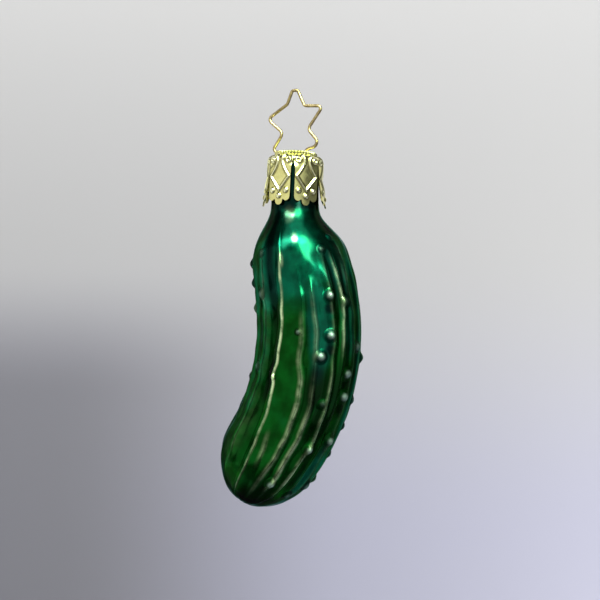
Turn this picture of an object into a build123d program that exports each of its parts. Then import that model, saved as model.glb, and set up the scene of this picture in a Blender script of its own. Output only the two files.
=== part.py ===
"""A hanging glass pickle: a blown shell, a stamped crown cap and a star-bent spring wire.

Millimetres, +Z up.  The origin is where a twig or hook carries the ornament, inside the top
bend of its wire.  The pickle curves in the XZ plane and its front faces -Y.
"""

import os
from math import acos, cos, pi, radians, sin, sqrt

from build123d import *

# Glass neck
NECK_D = 11.8             # outside diameter
NECK_LENGTH = 10.8        # rim to the foot of the neck
GLASS_WALL = 0.8

# Centre line of the pickle, from the foot of the neck downwards
LEAN_DROP = 2.7           # straight stretch before it leans
LEAN = 10.75              # degrees that it leans to the right
LEAN_LENGTH = 11.0
RUN_LENGTH = 8.0          # straight stretch
BEND = 43.6               # degrees that it curves back to the left
BEND_LENGTH = 41.7
DOME_LENGTH = 15.3        # rounded end

# Thickness of the pickle, in the valleys between its ridges
SHOULDER_DROP = 2.0       # neck's foot to where the shoulder starts
SHOULDER_LENGTH = 34.0    # it widens over this length, most of it near the top
SHOULDER_D = 22.6
SHOULDER_FULLNESS = 1.03  # above 1 the shoulder widens later
SHOULDER_SETTLE = 4.3     # above 1 it comes slowly to its full width
BELLY_SWELL = 0.9         # extra radius half way down the body
TIP_D = 24.4              # where the rounded end begins
TIP_FLAT_D = 2.4          # small flat that closes the rounded end

# Ridges and warts
RIDGE_COUNT = 16
RIDGE_HEIGHT = 0.4
RIDGE_RUN_IN = 13.6       # neck's foot to where the ridges have their full height
WART_D = 2.6
WART_HEIGHT = 0.75        # above the valleys
REAR_WARTS = 20

# Crown cap
CAP_SHEET = 0.35
CAP_CLEARANCE = 0.45      # between the neck and the cap's shoulder
CAP_SEAT = 1.45           # neck's rim below the cap's top
CAP_HEIGHT = 13.6
RIM_BAND = 0.8            # height of the reeded band
RIM_ROUND = 0.4
REED_COUNT = 42
REED_HEIGHT = 0.2
CAP_SHOULDER_OUT = 1.7    # shoulder's radius past the rim's
CAP_SHOULDER_DROP = 1.2   # below the cap's top
CAP_SHOULDER_ROUND = 1.3
HEM_FLARE = 0.75          # hem's radius past the shoulder's
PETAL_COUNT = 6
SLIT_WIDTH = 0.5          # between petals at the shoulder
SLIT_TOP = 2.2            # below the cap's top
LOBE_D = 2.2              # scallops of the hem
LOBE_RISE = 1.0           # outer lobes above the middle one

# Embossing on each petal
RELIEF = 0.25
RELIEF_LINE = 0.55
STEM_TOP = 1.2            # below the cap's top
STEM_HALF = 1.1           # half the space between the two stems that rise from the lozenge
LOZENGE_TOP = 3.2         # below the cap's top
LOZENGE_MIDDLE = 6.6      # below the cap's top
LOZENGE_HALF = 2.7
LOZENGE_FOOT = 3.6        # above the hem
SCROLL_D = 1.3
SCROLL_OUT = 2.2          # from the petal's middle line
SCROLL_DROP = 2.55        # below the cap's top
BEAD_D = 1.4
BEAD_OUT = 2.0            # outer beads from the petal's middle line
BEAD_RISE = 2.25          # middle bead above the hem
BEAD_STEP = 1.3           # outer beads above the middle one

# Spring wire hanger
WIRE_D = 0.8
HANGER_RISE = 15.3        # cap's top to the inside of the wire's top bend
STAR_WIDTH = 15.3         # across the star's arms
HANGER_TURN = 25.0        # degrees that its plane turns about the neck, right side forward
HOLE_SPACING = 6.0
HOLE_CLEARANCE = 0.15
FOOT_LIFT = 0.3           # wire's underside above the cap's top, beside the holes
LEG_STRAIGHT = 1.4        # legs' straight stretch below the cap's top
LEG_KNEE = 9.0            # depth where the legs press outwards
LEG_LENGTH = 15.0         # depth of the legs' tips
LEG_CLEARANCE = 0.3       # between a leg and the glass
TIP_TUCK = 0.4            # how far the legs draw in again towards their tips
TOP_WIDTH = 1.5           # between the two corners of the top bend
HOLE_BEND = 0.9
LEG_BEND = 4.0
TOP_BEND = 0.7

# The star's corners upwards: share of its half width, share of its height above the cap, bend radius
STAR_LEFT = ((-0.88, 0.03, 0.9), (-0.43, 0.335, 1.3), (-1.0, 0.58, 1.0), (-0.275, 0.79, 1.2))
STAR_RIGHT = ((0.92, 0.105, 1.3), (0.46, 0.365, 1.3), (1.0, 0.71, 0.8), (0.34, 0.74, 0.8))

# Warts on the front: share of the pickle's length below the neck, degrees from its right side to the front
FRONT_WARTS = (
    (0.15, 140), (0.27, 148), (0.17, 63), (0.31, 65), (0.33, 45), (0.13, 43), (0.41, 102),
    (0.42, 68), (0.48, 76), (0.52, 40), (0.45, 26), (0.17, 178), (0.23, 183), (0.32, 172),
    (0.58, 38), (0.70, 35), (0.74, 57), (0.88, 73), (0.84, 24), (0.89, 41), (0.57, 124),
    (0.55, 154), (0.61, 64), (0.59, 5), (0.66, 8), (0.74, 6), (0.82, -6), (0.48, -2), (0.60, 178),
)
REAR_START = 0.13         # shares between which the rear's warts spread
REAR_END = 0.86
REAR_FROM = 200.0         # angles between which they spread
REAR_TO = 340.0
REAR_TURN = 59.0          # degrees from one rear wart to the next

# How finely the glass is drawn
NECK_STEPS = 3
BODY_STEPS = 12
DOME_STEPS = 5
POINTS_PER_RIDGE = 4
BORE_OVERRUN = 1.0        # the bore is cut this far past the rim

CAP_TOP_Z = -HANGER_RISE
NECK_RIM_Z = CAP_TOP_Z - CAP_SEAT
NECK_R = NECK_D / 2
BORE_R = NECK_R - GLASS_WALL
BODY_LENGTH = LEAN_DROP + LEAN_LENGTH + RUN_LENGTH + BEND_LENGTH
CAP_SHOULDER_R = NECK_R + CAP_CLEARANCE + CAP_SHEET
CAP_RIM_R = CAP_SHOULDER_R - CAP_SHOULDER_OUT
HEM_R = CAP_SHOULDER_R + HEM_FLARE
PETAL_WIDTH = 2 * CAP_SHOULDER_R * sin(pi / PETAL_COUNT) - SLIT_WIDTH
WIRE_R = WIRE_D / 2
HOLE_U = HOLE_SPACING / 2


# Glass pickle

def spine(s):
    """Where the pickle's centre line is, and how far it leans, s millimetres below the neck's rim."""
    stretches = (
        (NECK_LENGTH + LEAN_DROP, 0.0),
        (LEAN_LENGTH, LEAN),
        (RUN_LENGTH, 0.0),
        (BEND_LENGTH, -BEND),
        (DOME_LENGTH, 0.0),
    )
    x, z, tilt = 0.0, NECK_RIM_Z, 0.0
    for length, turn in stretches:
        step = min(s, length)
        curve = radians(turn) / length
        if curve:
            x += (cos(tilt) - cos(tilt + curve * step)) / curve
            z -= (sin(tilt + curve * step) - sin(tilt)) / curve
        else:
            x += step * sin(tilt)
            z -= step * cos(tilt)
        tilt += curve * step
        s -= step
    return x, z, tilt


def ease(share):
    """A smooth step from 0 to 1."""
    share = min(1.0, max(0.0, share))
    return share * share * (3 - 2 * share)


def valley_radius(s, depth=0.0):
    """Radius of the glass between its ridges, depth millimetres in from the outside."""
    below = s - NECK_LENGTH
    shoulder_r = SHOULDER_D / 2
    tip_r = TIP_D / 2
    if below > BODY_LENGTH:
        return (tip_r - depth) * sqrt(1 - ((below - BODY_LENGTH) / (DOME_LENGTH - depth)) ** 2)
    down_body = max(0.0, below / BODY_LENGTH)
    down_shoulder = min(1.0, max(0.0, (below - SHOULDER_DROP) / SHOULDER_LENGTH))
    widening = ease(1 - (1 - down_shoulder ** SHOULDER_FULLNESS) ** SHOULDER_SETTLE)
    swell = (tip_r - shoulder_r) * down_body + BELLY_SWELL * sin(pi * down_body)
    return NECK_R + (shoulder_r - NECK_R) * widening + swell - depth


def ridge_height(s):
    """Ridges rise over the shoulder and fade into the rounded end."""
    rise = ease((s - NECK_LENGTH) / RIDGE_RUN_IN)
    fade = ease((NECK_LENGTH + BODY_LENGTH + DOME_LENGTH - s) / DOME_LENGTH)
    return RIDGE_HEIGHT * rise * fade


def stations(depth=0.0):
    """Distances below the rim at which the glass is drawn, depth millimetres in from the outside."""
    end = NECK_LENGTH + BODY_LENGTH
    dome_step = acos(TIP_FLAT_D / TIP_D) / DOME_STEPS
    neck = [NECK_LENGTH * i / NECK_STEPS for i in range(NECK_STEPS)]
    body = [NECK_LENGTH + BODY_LENGTH * i / BODY_STEPS for i in range(BODY_STEPS)]
    dome = [end + (DOME_LENGTH - depth) * sin(dome_step * i) for i in range(DOME_STEPS + 1)]
    return neck + body + dome


def cross_plane(s):
    """The plane across the centre line.  Its first axis points to the rear, where the seam lies."""
    x, z, tilt = spine(s)
    return Plane(origin=(x, 0, z), x_dir=(0, 1, 0), z_dir=(sin(tilt), 0, -cos(tilt)))


def ridged_section(s):
    valley = valley_radius(s)
    rise = ridge_height(s)
    count = RIDGE_COUNT * POINTS_PER_RIDGE
    points = []
    for i in range(count):
        angle = 2 * pi * i / count
        r = valley + rise * cos(RIDGE_COUNT * angle / 2) ** 2
        points.append((r * cos(angle), r * sin(angle)))
    return cross_plane(s) * make_face(Spline(*points, periodic=True))


def wart_places():
    places = list(FRONT_WARTS)
    for i in range(REAR_WARTS):
        share = REAR_START + (REAR_END - REAR_START) * i / REAR_WARTS
        places.append((share, REAR_FROM + REAR_TURN * i % (REAR_TO - REAR_FROM)))
    return places


def make_wart(share, degrees_round):
    s = NECK_LENGTH + share * (BODY_LENGTH + DOME_LENGTH)
    x, z, tilt = spine(s)
    angle = radians(degrees_round)
    reach = valley_radius(s) + WART_HEIGHT - WART_D / 2
    aside = reach * cos(angle)
    return Pos(x + aside * cos(tilt), -reach * sin(angle), z + aside * sin(tilt)) * Sphere(WART_D / 2)


def make_glass():
    outside = loft([ridged_section(s) for s in stations()])
    outside += [make_wart(share, degrees_round) for share, degrees_round in wart_places()]
    inside = [cross_plane(0).offset(-BORE_OVERRUN) * Circle(BORE_R)]
    inside += [cross_plane(s) * Circle(valley_radius(s, GLASS_WALL)) for s in stations(GLASS_WALL)]
    return outside - loft(inside)


# Crown cap, drawn with its top at zero height

def cap_layer(inwards, outwards):
    """A solid that follows the cap's outer face, so far inside and outside it."""
    face_line = FilletPolyline(
        (0, 0),
        (CAP_RIM_R, 0),
        (CAP_RIM_R, -RIM_BAND),
        (CAP_SHOULDER_R, -CAP_SHOULDER_DROP),
        (HEM_R, -CAP_HEIGHT),
        radius=(RIM_ROUND, RIM_ROUND, CAP_SHOULDER_ROUND),
    )
    profile = make_face(offset(face_line, inwards, side=Side.RIGHT))
    if outwards:
        profile += make_face(offset(face_line, outwards, side=Side.LEFT))
    return revolve(Plane.XZ * profile, Axis.Z)


def upright(width, low, high):
    """A rectangle on a petal's middle line, between two heights."""
    return Pos(0, (low + high) / 2) * Rectangle(width, high - low)


def petal_outline():
    lobe_r = LOBE_D / 2
    middle = lobe_r - CAP_HEIGHT
    outer = middle + LOBE_RISE
    outline = upright(PETAL_WIDTH, outer, -SLIT_TOP)
    outline += upright(LOBE_D, middle, outer)
    outline += Pos(0, middle) * Circle(lobe_r)
    for side in (-1, 1):
        outline += Pos(side * (PETAL_WIDTH / 2 - lobe_r), outer) * Circle(lobe_r)
    return outline


def petal_pattern():
    """A lozenge with two stems that rise from it, a scroll beside each stem, and three beads."""
    half = [
        (STEM_HALF, -STEM_TOP),
        (STEM_HALF, -LOZENGE_TOP),
        (LOZENGE_HALF, -LOZENGE_MIDDLE),
        (0, LOZENGE_FOOT - CAP_HEIGHT),
    ]
    other_half = [(-x, y) for x, y in reversed(half[:-1])]
    pattern = trace(Polyline(*half, *other_half), RELIEF_LINE)
    scroll = Circle(SCROLL_D / 2) - Circle((SCROLL_D - RELIEF_LINE) / 2)
    bead = Circle(BEAD_D / 2)
    middle_bead = BEAD_RISE - CAP_HEIGHT
    pattern += Pos(0, middle_bead) * bead
    for side in (-1, 1):
        pattern += Pos(side * SCROLL_OUT, -SCROLL_DROP) * scroll
        pattern += Pos(side * BEAD_OUT, middle_bead + BEAD_STEP) * bead
    return pattern


def reeded_band():
    inner_r = CAP_RIM_R - CAP_SHEET / 2
    points = []
    for i in range(2 * REED_COUNT):
        r = CAP_RIM_R + REED_HEIGHT * (i % 2)
        points.append((r * cos(pi * i / REED_COUNT), r * sin(pi * i / REED_COUNT)))
    band = make_face(Polyline(*points, close=True)) - Circle(inner_r)
    return Pos(0, 0, -RIM_BAND) * extrude(band, RIM_BAND - RIM_ROUND)


def make_cap():
    reach = HEM_R + RELIEF + CAP_SHEET
    sheet = cap_layer(CAP_SHEET, 0)
    raised = cap_layer(CAP_SHEET / 2, RELIEF)
    outline = petal_outline()
    pattern = petal_pattern() & (outline + upright(PETAL_WIDTH, -SLIT_TOP, 0))
    petal = sheet & extrude(Plane.XZ * outline, reach)
    emboss = raised & extrude(Plane.XZ * pattern, reach)
    crown = sheet & Pos(0, 0, -SLIT_TOP / 2) * Cylinder(reach, SLIT_TOP)
    pieces = [reeded_band()]
    for i in range(PETAL_COUNT):
        turn = Rot(0, 0, 360 / PETAL_COUNT * (i + 0.5))
        pieces += [turn * petal, turn * emboss]
    cap = Pos(0, 0, CAP_TOP_Z) * (crown + pieces)
    for side in (-1, 1):
        hole = Pos(*on_hanger(side * HOLE_U, 0)) * Cylinder(WIRE_R + HOLE_CLEARANCE, 3 * CAP_SHEET)
        cap -= hole
    return cap


# Spring wire hanger

def on_hanger(u, height):
    """A point of the hanger's plane, from its distance beside the neck's axis and above the cap."""
    turn = radians(HANGER_TURN)
    return (u * cos(turn), -u * sin(turn), CAP_TOP_Z + height)


def leg(side):
    """One leg's corners from its tip up to the bend above its hole, with their bend radii."""
    knee_u = BORE_R - WIRE_R - LEG_CLEARANCE
    return [
        (side * (knee_u - TIP_TUCK), -LEG_LENGTH, None),
        (side * knee_u, -LEG_KNEE, LEG_BEND),
        (side * HOLE_U, -LEG_STRAIGHT, LEG_BEND),
        (side * HOLE_U, FOOT_LIFT + WIRE_R, HOLE_BEND),
    ]


def star_side(shares):
    """One side of the star from the cap upwards, as corners with their bend radii."""
    height = HANGER_RISE + WIRE_R
    return [(out * STAR_WIDTH / 2, up * height, radius) for out, up, radius in shares]


def make_hanger():
    top = HANGER_RISE + WIRE_R
    corners = leg(-1) + star_side(STAR_LEFT)
    corners += [(-TOP_WIDTH / 2, top, TOP_BEND), (TOP_WIDTH / 2, top, TOP_BEND)]
    corners += reversed(leg(1) + star_side(STAR_RIGHT))
    radii = [radius for u, height, radius in corners[1:-1]]
    path = FilletPolyline(*[on_hanger(u, height) for u, height, radius in corners], radius=radii)
    section = Plane(origin=path @ 0, z_dir=path % 0) * Circle(WIRE_R)
    return sweep(section, path)


os.makedirs("parts", exist_ok=True)
export_step(make_glass(), "parts/glass_pickle.step")
export_step(make_cap(), "parts/crown_cap.step")
export_step(make_hanger(), "parts/spring_hanger.step")
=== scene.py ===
from math import cos, pi, radians, sin

import bmesh
import bpy
import numpy as np
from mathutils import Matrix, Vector


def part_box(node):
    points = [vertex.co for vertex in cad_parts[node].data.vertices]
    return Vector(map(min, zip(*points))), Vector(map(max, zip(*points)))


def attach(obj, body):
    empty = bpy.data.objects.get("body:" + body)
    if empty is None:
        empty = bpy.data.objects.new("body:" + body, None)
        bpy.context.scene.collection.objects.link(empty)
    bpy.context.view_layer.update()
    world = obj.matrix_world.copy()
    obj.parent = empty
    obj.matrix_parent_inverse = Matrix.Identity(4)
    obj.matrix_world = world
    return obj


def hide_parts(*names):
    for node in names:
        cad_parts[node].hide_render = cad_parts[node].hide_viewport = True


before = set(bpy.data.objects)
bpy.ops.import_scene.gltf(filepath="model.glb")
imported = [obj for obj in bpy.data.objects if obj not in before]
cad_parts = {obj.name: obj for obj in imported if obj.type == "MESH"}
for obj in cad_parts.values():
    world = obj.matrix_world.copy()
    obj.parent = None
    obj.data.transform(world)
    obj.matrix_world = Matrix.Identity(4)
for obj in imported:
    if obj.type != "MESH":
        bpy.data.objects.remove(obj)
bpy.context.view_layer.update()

# Glass pickle
# One thin shell of glass, blown into a mould that gives it its ridges and warts, silvered inside and
# dipped in green satin lacquer. Its crests are pale from thinner lacquer and painted highlight, and its
# valleys dark from pooled lacquer and painted shade, with painted shadow under the cap and round the warts
# and painted highlights on the wart tops and shoulder. The open neck goes up into the cap until its rim
# meets the underside.

MM = 0.001                # sizes are written in millimetres, and turned to metres as a mesh is made
NECK_RIM_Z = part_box("glass_pickle")[1].z / MM
NECK_R = 5.9
NECK_LENGTH = 10.8
GLASS_WALL = 0.8
SHOULDER_DROP = 1.2       # from the neck's foot to where the shoulder starts
SHOULDER_LENGTH = 28.4    # it widens over this length, most of it near the top
SHOULDER_R = 11.0
SHOULDER_FULLNESS = 1.4   # above 1 the shoulder widens later
SHOULDER_SETTLE = 5.5     # above 1 it comes slowly to its full width
BELLY_SWELL = 1.07        # extra radius half way down the body
TIP_R = 12.2
LEAN_DROP = 2.7           # straight stretch below the neck
LEAN_LENGTH = 11.0        # then it leans to the right
LEAN = 10.75
RUN_LENGTH = 8.0          # straight stretch
BEND_LENGTH = 41.7        # then it curves back to the left
BEND = 43.6
DOME_LENGTH = 15.3        # rounded end
BODY_LENGTH = LEAN_DROP + LEAN_LENGTH + RUN_LENGTH + BEND_LENGTH
PICKLE_LENGTH = BODY_LENGTH + DOME_LENGTH
OUTER_ROWS = (16, 200, 56)   # rings of points on the neck, the body and the rounded end
INNER_ROWS = (6, 20, 8)
COLUMNS = 300
CRISP_RIDGE = 117         # degrees round, where the points stand closest
CRISP_HALF = 9
CRISP_CROWDING = 1.8      # extra points there
FRONT_CROWDING = 0.6      # and over the whole front
TURN_STEP = 0.5

# Each ridge's crest line and what changes along it are pairs: share of the pickle's length down from the
# neck, then degrees from the right side to the front, rise in millimetres, or how pale its crest is, partly
# from worn lacquer and partly painted highlight.
# Left and right are the widths of its slopes in degrees, and a bead is a fine raised line along the crest.
RIDGES = (
    {"crest": ((0.05, 115), (0.16, 113), (0.25, 116), (0.35, 119), (0.45, 121), (0.56, 124), (0.65, 119),
               (0.75, 117), (0.82, 114), (0.88, 110), (0.98, 114)),
     "rise": ((0.11, 0), (0.21, 0.50), (0.30, 0.62), (0.65, 0.56), (0.90, 0.36), (0.99, 0)),
     "left": 8, "right": 24, "bead": 0.17,
     "worn": ((0.15, 0), (0.21, 0.6), (0.32, 0.95), (0.62, 0.95), (0.69, 0.42), (0.97, 0.2))},
    {"crest": ((0.22, 97), (0.30, 97), (0.38, 99), (0.50, 99), (0.56, 94), (0.62, 91), (0.80, 87),
               (0.95, 88)),
     "rise": ((0.20, 0), (0.34, 0.40), (0.58, 0.42), (0.88, 0.44), (0.96, 0)),
     "left": 15, "right": 5.5, "bead": 0.02,
     "worn": ((0.34, 0), (0.40, 0.14), (0.52, 0.18), (0.60, 0.34), (0.84, 0.36), (0.90, 0.1))},
    {"crest": ((0.26, 84), (0.50, 83), (0.58, 79), (0.65, 76), (0.80, 75), (0.88, 73), (0.96, 74)),
     "rise": ((0.24, 0), (0.34, 0.36), (0.50, 0.28), (0.64, 0.40), (0.86, 0.46), (0.96, 0)),
     "left": 8, "right": 5.5, "bead": 0.03,
     "worn": ((0.28, 0), (0.34, 0.12), (0.46, 0.12), (0.52, 0), (0.64, 0.1), (0.68, 0.5),
              (0.86, 0.55), (0.91, 0))},
    {"crest": ((0.16, 64), (0.35, 63), (0.50, 62), (0.60, 60), (0.72, 57), (0.80, 60), (0.95, 60)),
     "rise": ((0.18, 0), (0.26, 0.44), (0.70, 0.50), (0.90, 0.46), (0.96, 0)),
     "left": 9, "right": 5, "bead": 0.03,
     "worn": ((0.20, 0.03), (0.45, 0.06), (0.55, 0.2), (0.70, 0.3), (0.76, 0.1), (0.80, 0.4),
              (0.87, 0.4), (0.91, 0))},
    {"crest": ((0.17, 52), (0.24, 50), (0.35, 49), (0.45, 50), (0.55, 49), (0.90, 46)),
     "rise": ((0.18, 0), (0.25, 0.50), (0.46, 0.50), (0.56, 0.32), (0.80, 0.32), (0.93, 0)),
     "left": 6, "right": 5, "bead": 0.06, "worn": ((0.20, 0.05), (0.25, 0.40), (0.43, 0.36), (0.48, 0))},
    {"crest": ((0.15, 38), (0.22, 35), (0.30, 36), (0.50, 33), (0.92, 34)),
     "rise": ((0.15, 0), (0.22, 0.46), (0.50, 0.44), (0.80, 0.40), (0.93, 0)),
     "left": 8, "right": 5, "bead": 0.03, "worn": ((0.18, 0.15), (0.26, 0.2), (0.34, 0.05))},
    {"crest": ((0.10, 19), (0.92, 17)), "rise": ((0.14, 0), (0.24, 0.46), (0.80, 0.44), (0.93, 0)),
     "left": 9, "right": 6, "bead": 0.02, "worn": ((0.20, 0.12), (0.90, 0.06))},
    {"crest": ((0.10, 0), (0.92, -3)), "rise": ((0.10, 0), (0.20, 0.44), (0.80, 0.42), (0.93, 0)),
     "left": 9, "right": 9, "bead": 0.02, "worn": ((0.20, 0.2), (0.90, 0.2))},
    {"crest": ((0.74, 108), (0.79, 104), (0.85, 100)),
     "rise": ((0.73, 0), (0.78, 0.42), (0.82, 0.36), (0.87, 0)),
     "left": 4, "right": 4, "bead": 0.02, "worn": ((0.74, 0), (0.79, 0.25), (0.83, 0.25), (0.86, 0))},
    {"crest": ((0.06, 137), (0.20, 142), (0.35, 146), (0.75, 146), (0.87, 140), (0.97, 146)),
     "rise": ((0.10, 0), (0.20, 0.40), (0.60, 0.34), (0.80, 0.40), (0.97, 0)),
     "left": 13, "right": 10, "bead": 0.0,
     "worn": ((0.10, 0), (0.22, 0.10), (0.50, 0.03), (0.72, 0.08), (0.90, 0.12))},
    {"crest": ((0.08, 164), (0.40, 170), (0.95, 168)),
     "rise": ((0.12, 0), (0.22, 0.42), (0.66, 0.42), (0.74, 0.12), (0.90, 0.10), (0.96, 0)),
     "left": 9, "right": 10, "bead": 0.02, "worn": ((0.20, 0.08), (0.90, 0.08))},
)
# The ridges behind, each drawn at random between these limits
REAR_RIDGES = 8
REAR_FROM = 190.0         # degrees round to the first
REAR_STEP = 20.5          # and from each to the next
REAR_WANDER = 6.0
REAR_RISES = (0.34, 0.46)
REAR_SLOPES = (7, 10)
REAR_BEAD = 0.04
REAR_CREST_SHARES = np.linspace(0.06, 0.96, 5)
REAR_WEAR = (0.05, 0.45)
REAR_WEAR_SHARES = np.linspace(0.15, 0.90, 4)

# What all ridges share, and the slow swells of the mould between them
BEAD_HALF = 2.2           # half width of a bead in degrees
WEAR_HALF = 2.8           # half width of the pale wear and painted highlight along a plain crest
FINE_WEAR_HALF = 1.8      # and along a clearly beaded one
WEAR_FULLNESS = 1.25      # above 1 the middle of the wear and painted highlight is even
CLEAR_BEAD = 0.1          # height above which a bead is clear
CLEAR_RISE = 0.2          # rise from which a ridge has all of its bead, wear and painted highlight
CREST_WANDER = 0.9        # how far a crest strays from its line, in degrees
CREST_WAVE = 9            # over so many rows of points
CREST_EASE = 4            # and eased over so many
RISE_WANDER = 0.15        # share by which its rise varies, in the same way
RISE_WAVE = 16
RISE_WAVE_EASE = 8
RISE_EASE = 16
SWELLS = 30               # they run every way and cross each other
SWELL_HEIGHT = 0.012
SWELL_LENGTHS = (5, 14)
SWELL_TURNS = (2, 14)     # swells round the pickle
SWELL_DROP = 4            # from the neck's foot to where they start
SWELL_RUN_IN = 16

# Warts on the front: share of the pickle's length, degrees from its right side to the front, radius and
# height in millimetres, and how strong the painted highlight on their tops is
FRONT_WARTS = (
    (0.15, 140, 1.4, 0.40, 0.1), (0.27, 148, 1.9, 0.65, 0.3), (0.17, 62, 1.3, 0.40, 0.1),
    (0.31, 65, 1.8, 0.80, 0.8), (0.33, 45, 1.7, 0.70, 0.1), (0.13, 43, 1.2, 0.35, 0.0),
    (0.41, 102, 1.1, 0.22, 0.4), (0.42, 67, 1.9, 0.80, 0.7), (0.48, 76, 2.0, 0.80, 0.8),
    (0.52, 40, 2.0, 0.90, 0.9), (0.45, 26, 1.9, 0.80, 0.5), (0.17, 178, 1.7, 0.70, 0.2),
    (0.23, 183, 1.7, 0.70, 0.2), (0.32, 172, 1.7, 0.70, 0.2), (0.58, 38, 2.1, 0.90, 0.9),
    (0.70, 35, 2.0, 0.85, 0.8), (0.74, 57, 1.8, 0.75, 0.8), (0.88, 73, 1.8, 0.70, 0.9),
    (0.84, 24, 1.9, 0.80, 0.5), (0.89, 41, 1.7, 0.70, 0.3), (0.57, 124, 1.2, 0.35, 0.1),
    (0.55, 154, 1.8, 0.60, 0.3), (0.61, 64, 1.5, 0.45, 0.1), (0.59, 5, 1.8, 0.80, 0.3),
    (0.66, 8, 1.8, 0.80, 0.3), (0.74, 6, 1.8, 0.80, 0.3), (0.82, -6, 1.8, 0.80, 0.3),
    (0.48, -2, 1.8, 0.80, 0.3), (0.60, 178, 1.7, 0.70, 0.2),
)
REAR_WARTS = 20
REAR_WART_SHARES = (0.13, 0.86)
REAR_WART_DEGREES = (200, 340)
REAR_WART_TURN = 59       # degrees from one rear wart to the next
REAR_WART_R = 1.8
REAR_WART_HEIGHT = 0.75
REAR_WART_THINNESS = (0.1, 0.6)
WART_TOP = 0.5            # share of a wart's height from which it is its top, where its highlight is painted
WART_FOOT = 0.125         # and up to which it is its foot

# Painted shade, shadow and dark reflection, laid as lacquer run together: share, degrees, half length as a
# share, half width in degrees, depth
DEEP_PATCHES = (
    (0.26, 129, 0.32, 10, 0.9), (0.58, 129, 0.15, 8, 1.0), (0.57, 76, 0.13, 21, 1.0),
    (0.64, 66, 0.13, 8, 0.9), (0.62, 52, 0.26, 7, 0.9), (0.28, 56, 0.13, 6, 0.8),
    (0.30, 43, 0.13, 5, 0.8), (0.46, 68, 0.06, 8, 0.8), (0.95, 78, 0.10, 50, 0.9),
    (0.40, 91, 0.13, 6, 0.5), (0.82, 51, 0.10, 6, 0.8), (0.45, 25, 0.3, 6, 0.5),
    (0.545, 40, 0.03, 9, 0.9), (0.61, 37, 0.03, 10, 0.9), (0.72, 34, 0.03, 9, 0.7),
    (0.335, 43, 0.03, 7, 0.8), (0.10, 128, 0.22, 11, 0.95), (0.03, 142, 0.13, 24, 0.9),
    (0.07, 38, 0.15, 27, 0.85), (0.17, 55, 0.06, 12, 0.6), (0.345, 67, 0.025, 9, 1.0),
    (0.46, 67, 0.03, 9, 1.0), (0.765, 56, 0.025, 8, 0.9), (0.91, 74, 0.03, 14, 1.0),
)
PATCH_FULLNESS = 1.4      # above 1 the middle of a patch is even
# Darker patches of lacquer behind, in the same way, each drawn at random between these limits
REAR_PATCHES = 14
REAR_PATCH_LIMITS = ((0.15, 0.9), (190, 350), (0.08, 0.25), (5, 12), (0.6, 1.0))
# Painted highlights, laid as pale patches on the neck, the shoulder and the left side, in the same way
THIN_PATCHES = (
    (0.045, 103, 0.035, 17, 0.09), (0.45, 156, 0.55, 26, 0.025), (0.78, 152, 0.25, 30, 0.03),
    (0.18, 112, 0.03, 4, 0.25), (0.122, 93, 0.022, 6, 0.14), (0.20, 37, 0.10, 10, 0.05),
)
VALLEY_DEPTH = 0.25       # depth of the lacquer along plain valleys, partly pooled and partly painted shade
VALLEY_RISE = 0.25        # where the ridges rise less than this
VALLEY_SHARE = 0.15       # and which are at their full depth from this share down
WART_DEPTH = 0.85         # painted shade on the warts' flanks
NECK_DEPTH = 0.95         # and painted shadow on the neck under the cap, above this share
NECK_SHARE = 0.03
# Where the green is cooler: the shoulder down to a share, and patches
COOL_SHARES = (0.16, 0.46)
COOL_PATCHES = (
    (0.38, 78, 0.24, 22, 1.0), (0.50, 6, 0.70, 28, 0.9), (0.55, 162, 0.60, 34, 0.45),
    (0.84, 30, 0.24, 22, 0.9), (0.30, 38, 0.26, 28, 0.6),
)

rng = np.random.default_rng(7)

# The centre line, traced in short steps down from the rim
TRACE_STEP = 0.05
line_marks = np.cumsum([0, NECK_LENGTH + LEAN_DROP, LEAN_LENGTH, RUN_LENGTH, BEND_LENGTH, DOME_LENGTH])
line_tilts = np.radians([0, 0, LEAN, LEAN, LEAN - BEND, LEAN - BEND])
line_down = np.arange(0, line_marks[-1] + TRACE_STEP, TRACE_STEP)
line_tilt = np.interp(line_down, line_marks, line_tilts)
line_x = np.cumsum(np.sin(line_tilt)) * TRACE_STEP
line_z = NECK_RIM_Z - np.cumsum(np.cos(line_tilt)) * TRACE_STEP + TRACE_STEP


def ease(share):
    """A smooth step from 0 to 1."""
    share = np.clip(share, 0, 1)
    return share * share * (3 - 2 * share)


def glass_rows(depth, neck_rows, body_rows, dome_rows):
    """How far each ring of points is below the rim, and its radius, depth millimetres inside the glass."""
    body_end = NECK_LENGTH + BODY_LENGTH
    neck = np.linspace(0, NECK_LENGTH, neck_rows, endpoint=False)
    body = np.linspace(NECK_LENGTH, body_end, body_rows, endpoint=False)
    down = np.concatenate([neck, body])
    down_shoulder = np.clip((down - NECK_LENGTH - SHOULDER_DROP) / SHOULDER_LENGTH, 0, 1)
    widening = ease(1 - (1 - down_shoulder ** SHOULDER_FULLNESS) ** SHOULDER_SETTLE)
    down_body = np.clip((down - NECK_LENGTH) / BODY_LENGTH, 0, 1)
    radius = NECK_R + (SHOULDER_R - NECK_R) * widening
    radius += (TIP_R - SHOULDER_R) * down_body + BELLY_SWELL * np.sin(pi * down_body)
    dome = np.linspace(0, pi / 2, dome_rows, endpoint=False)
    dome_down = body_end + (DOME_LENGTH - depth) * np.sin(dome)
    return np.append(down, dome_down), np.append(radius - depth, (TIP_R - depth) * np.cos(dome))


def on_glass(down, radius, angle):
    """Points so far below the rim, out from the centre line and round from the right side to the front."""
    tilt = np.interp(down, line_down, line_tilt)
    across = radius * np.cos(angle)
    x = np.interp(down, line_down, line_x) + across * np.cos(tilt)
    z = np.interp(down, line_down, line_z) + across * np.sin(tilt)
    return np.stack(np.broadcast_arrays(x, -radius * np.sin(angle), z), axis=-1)


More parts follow.
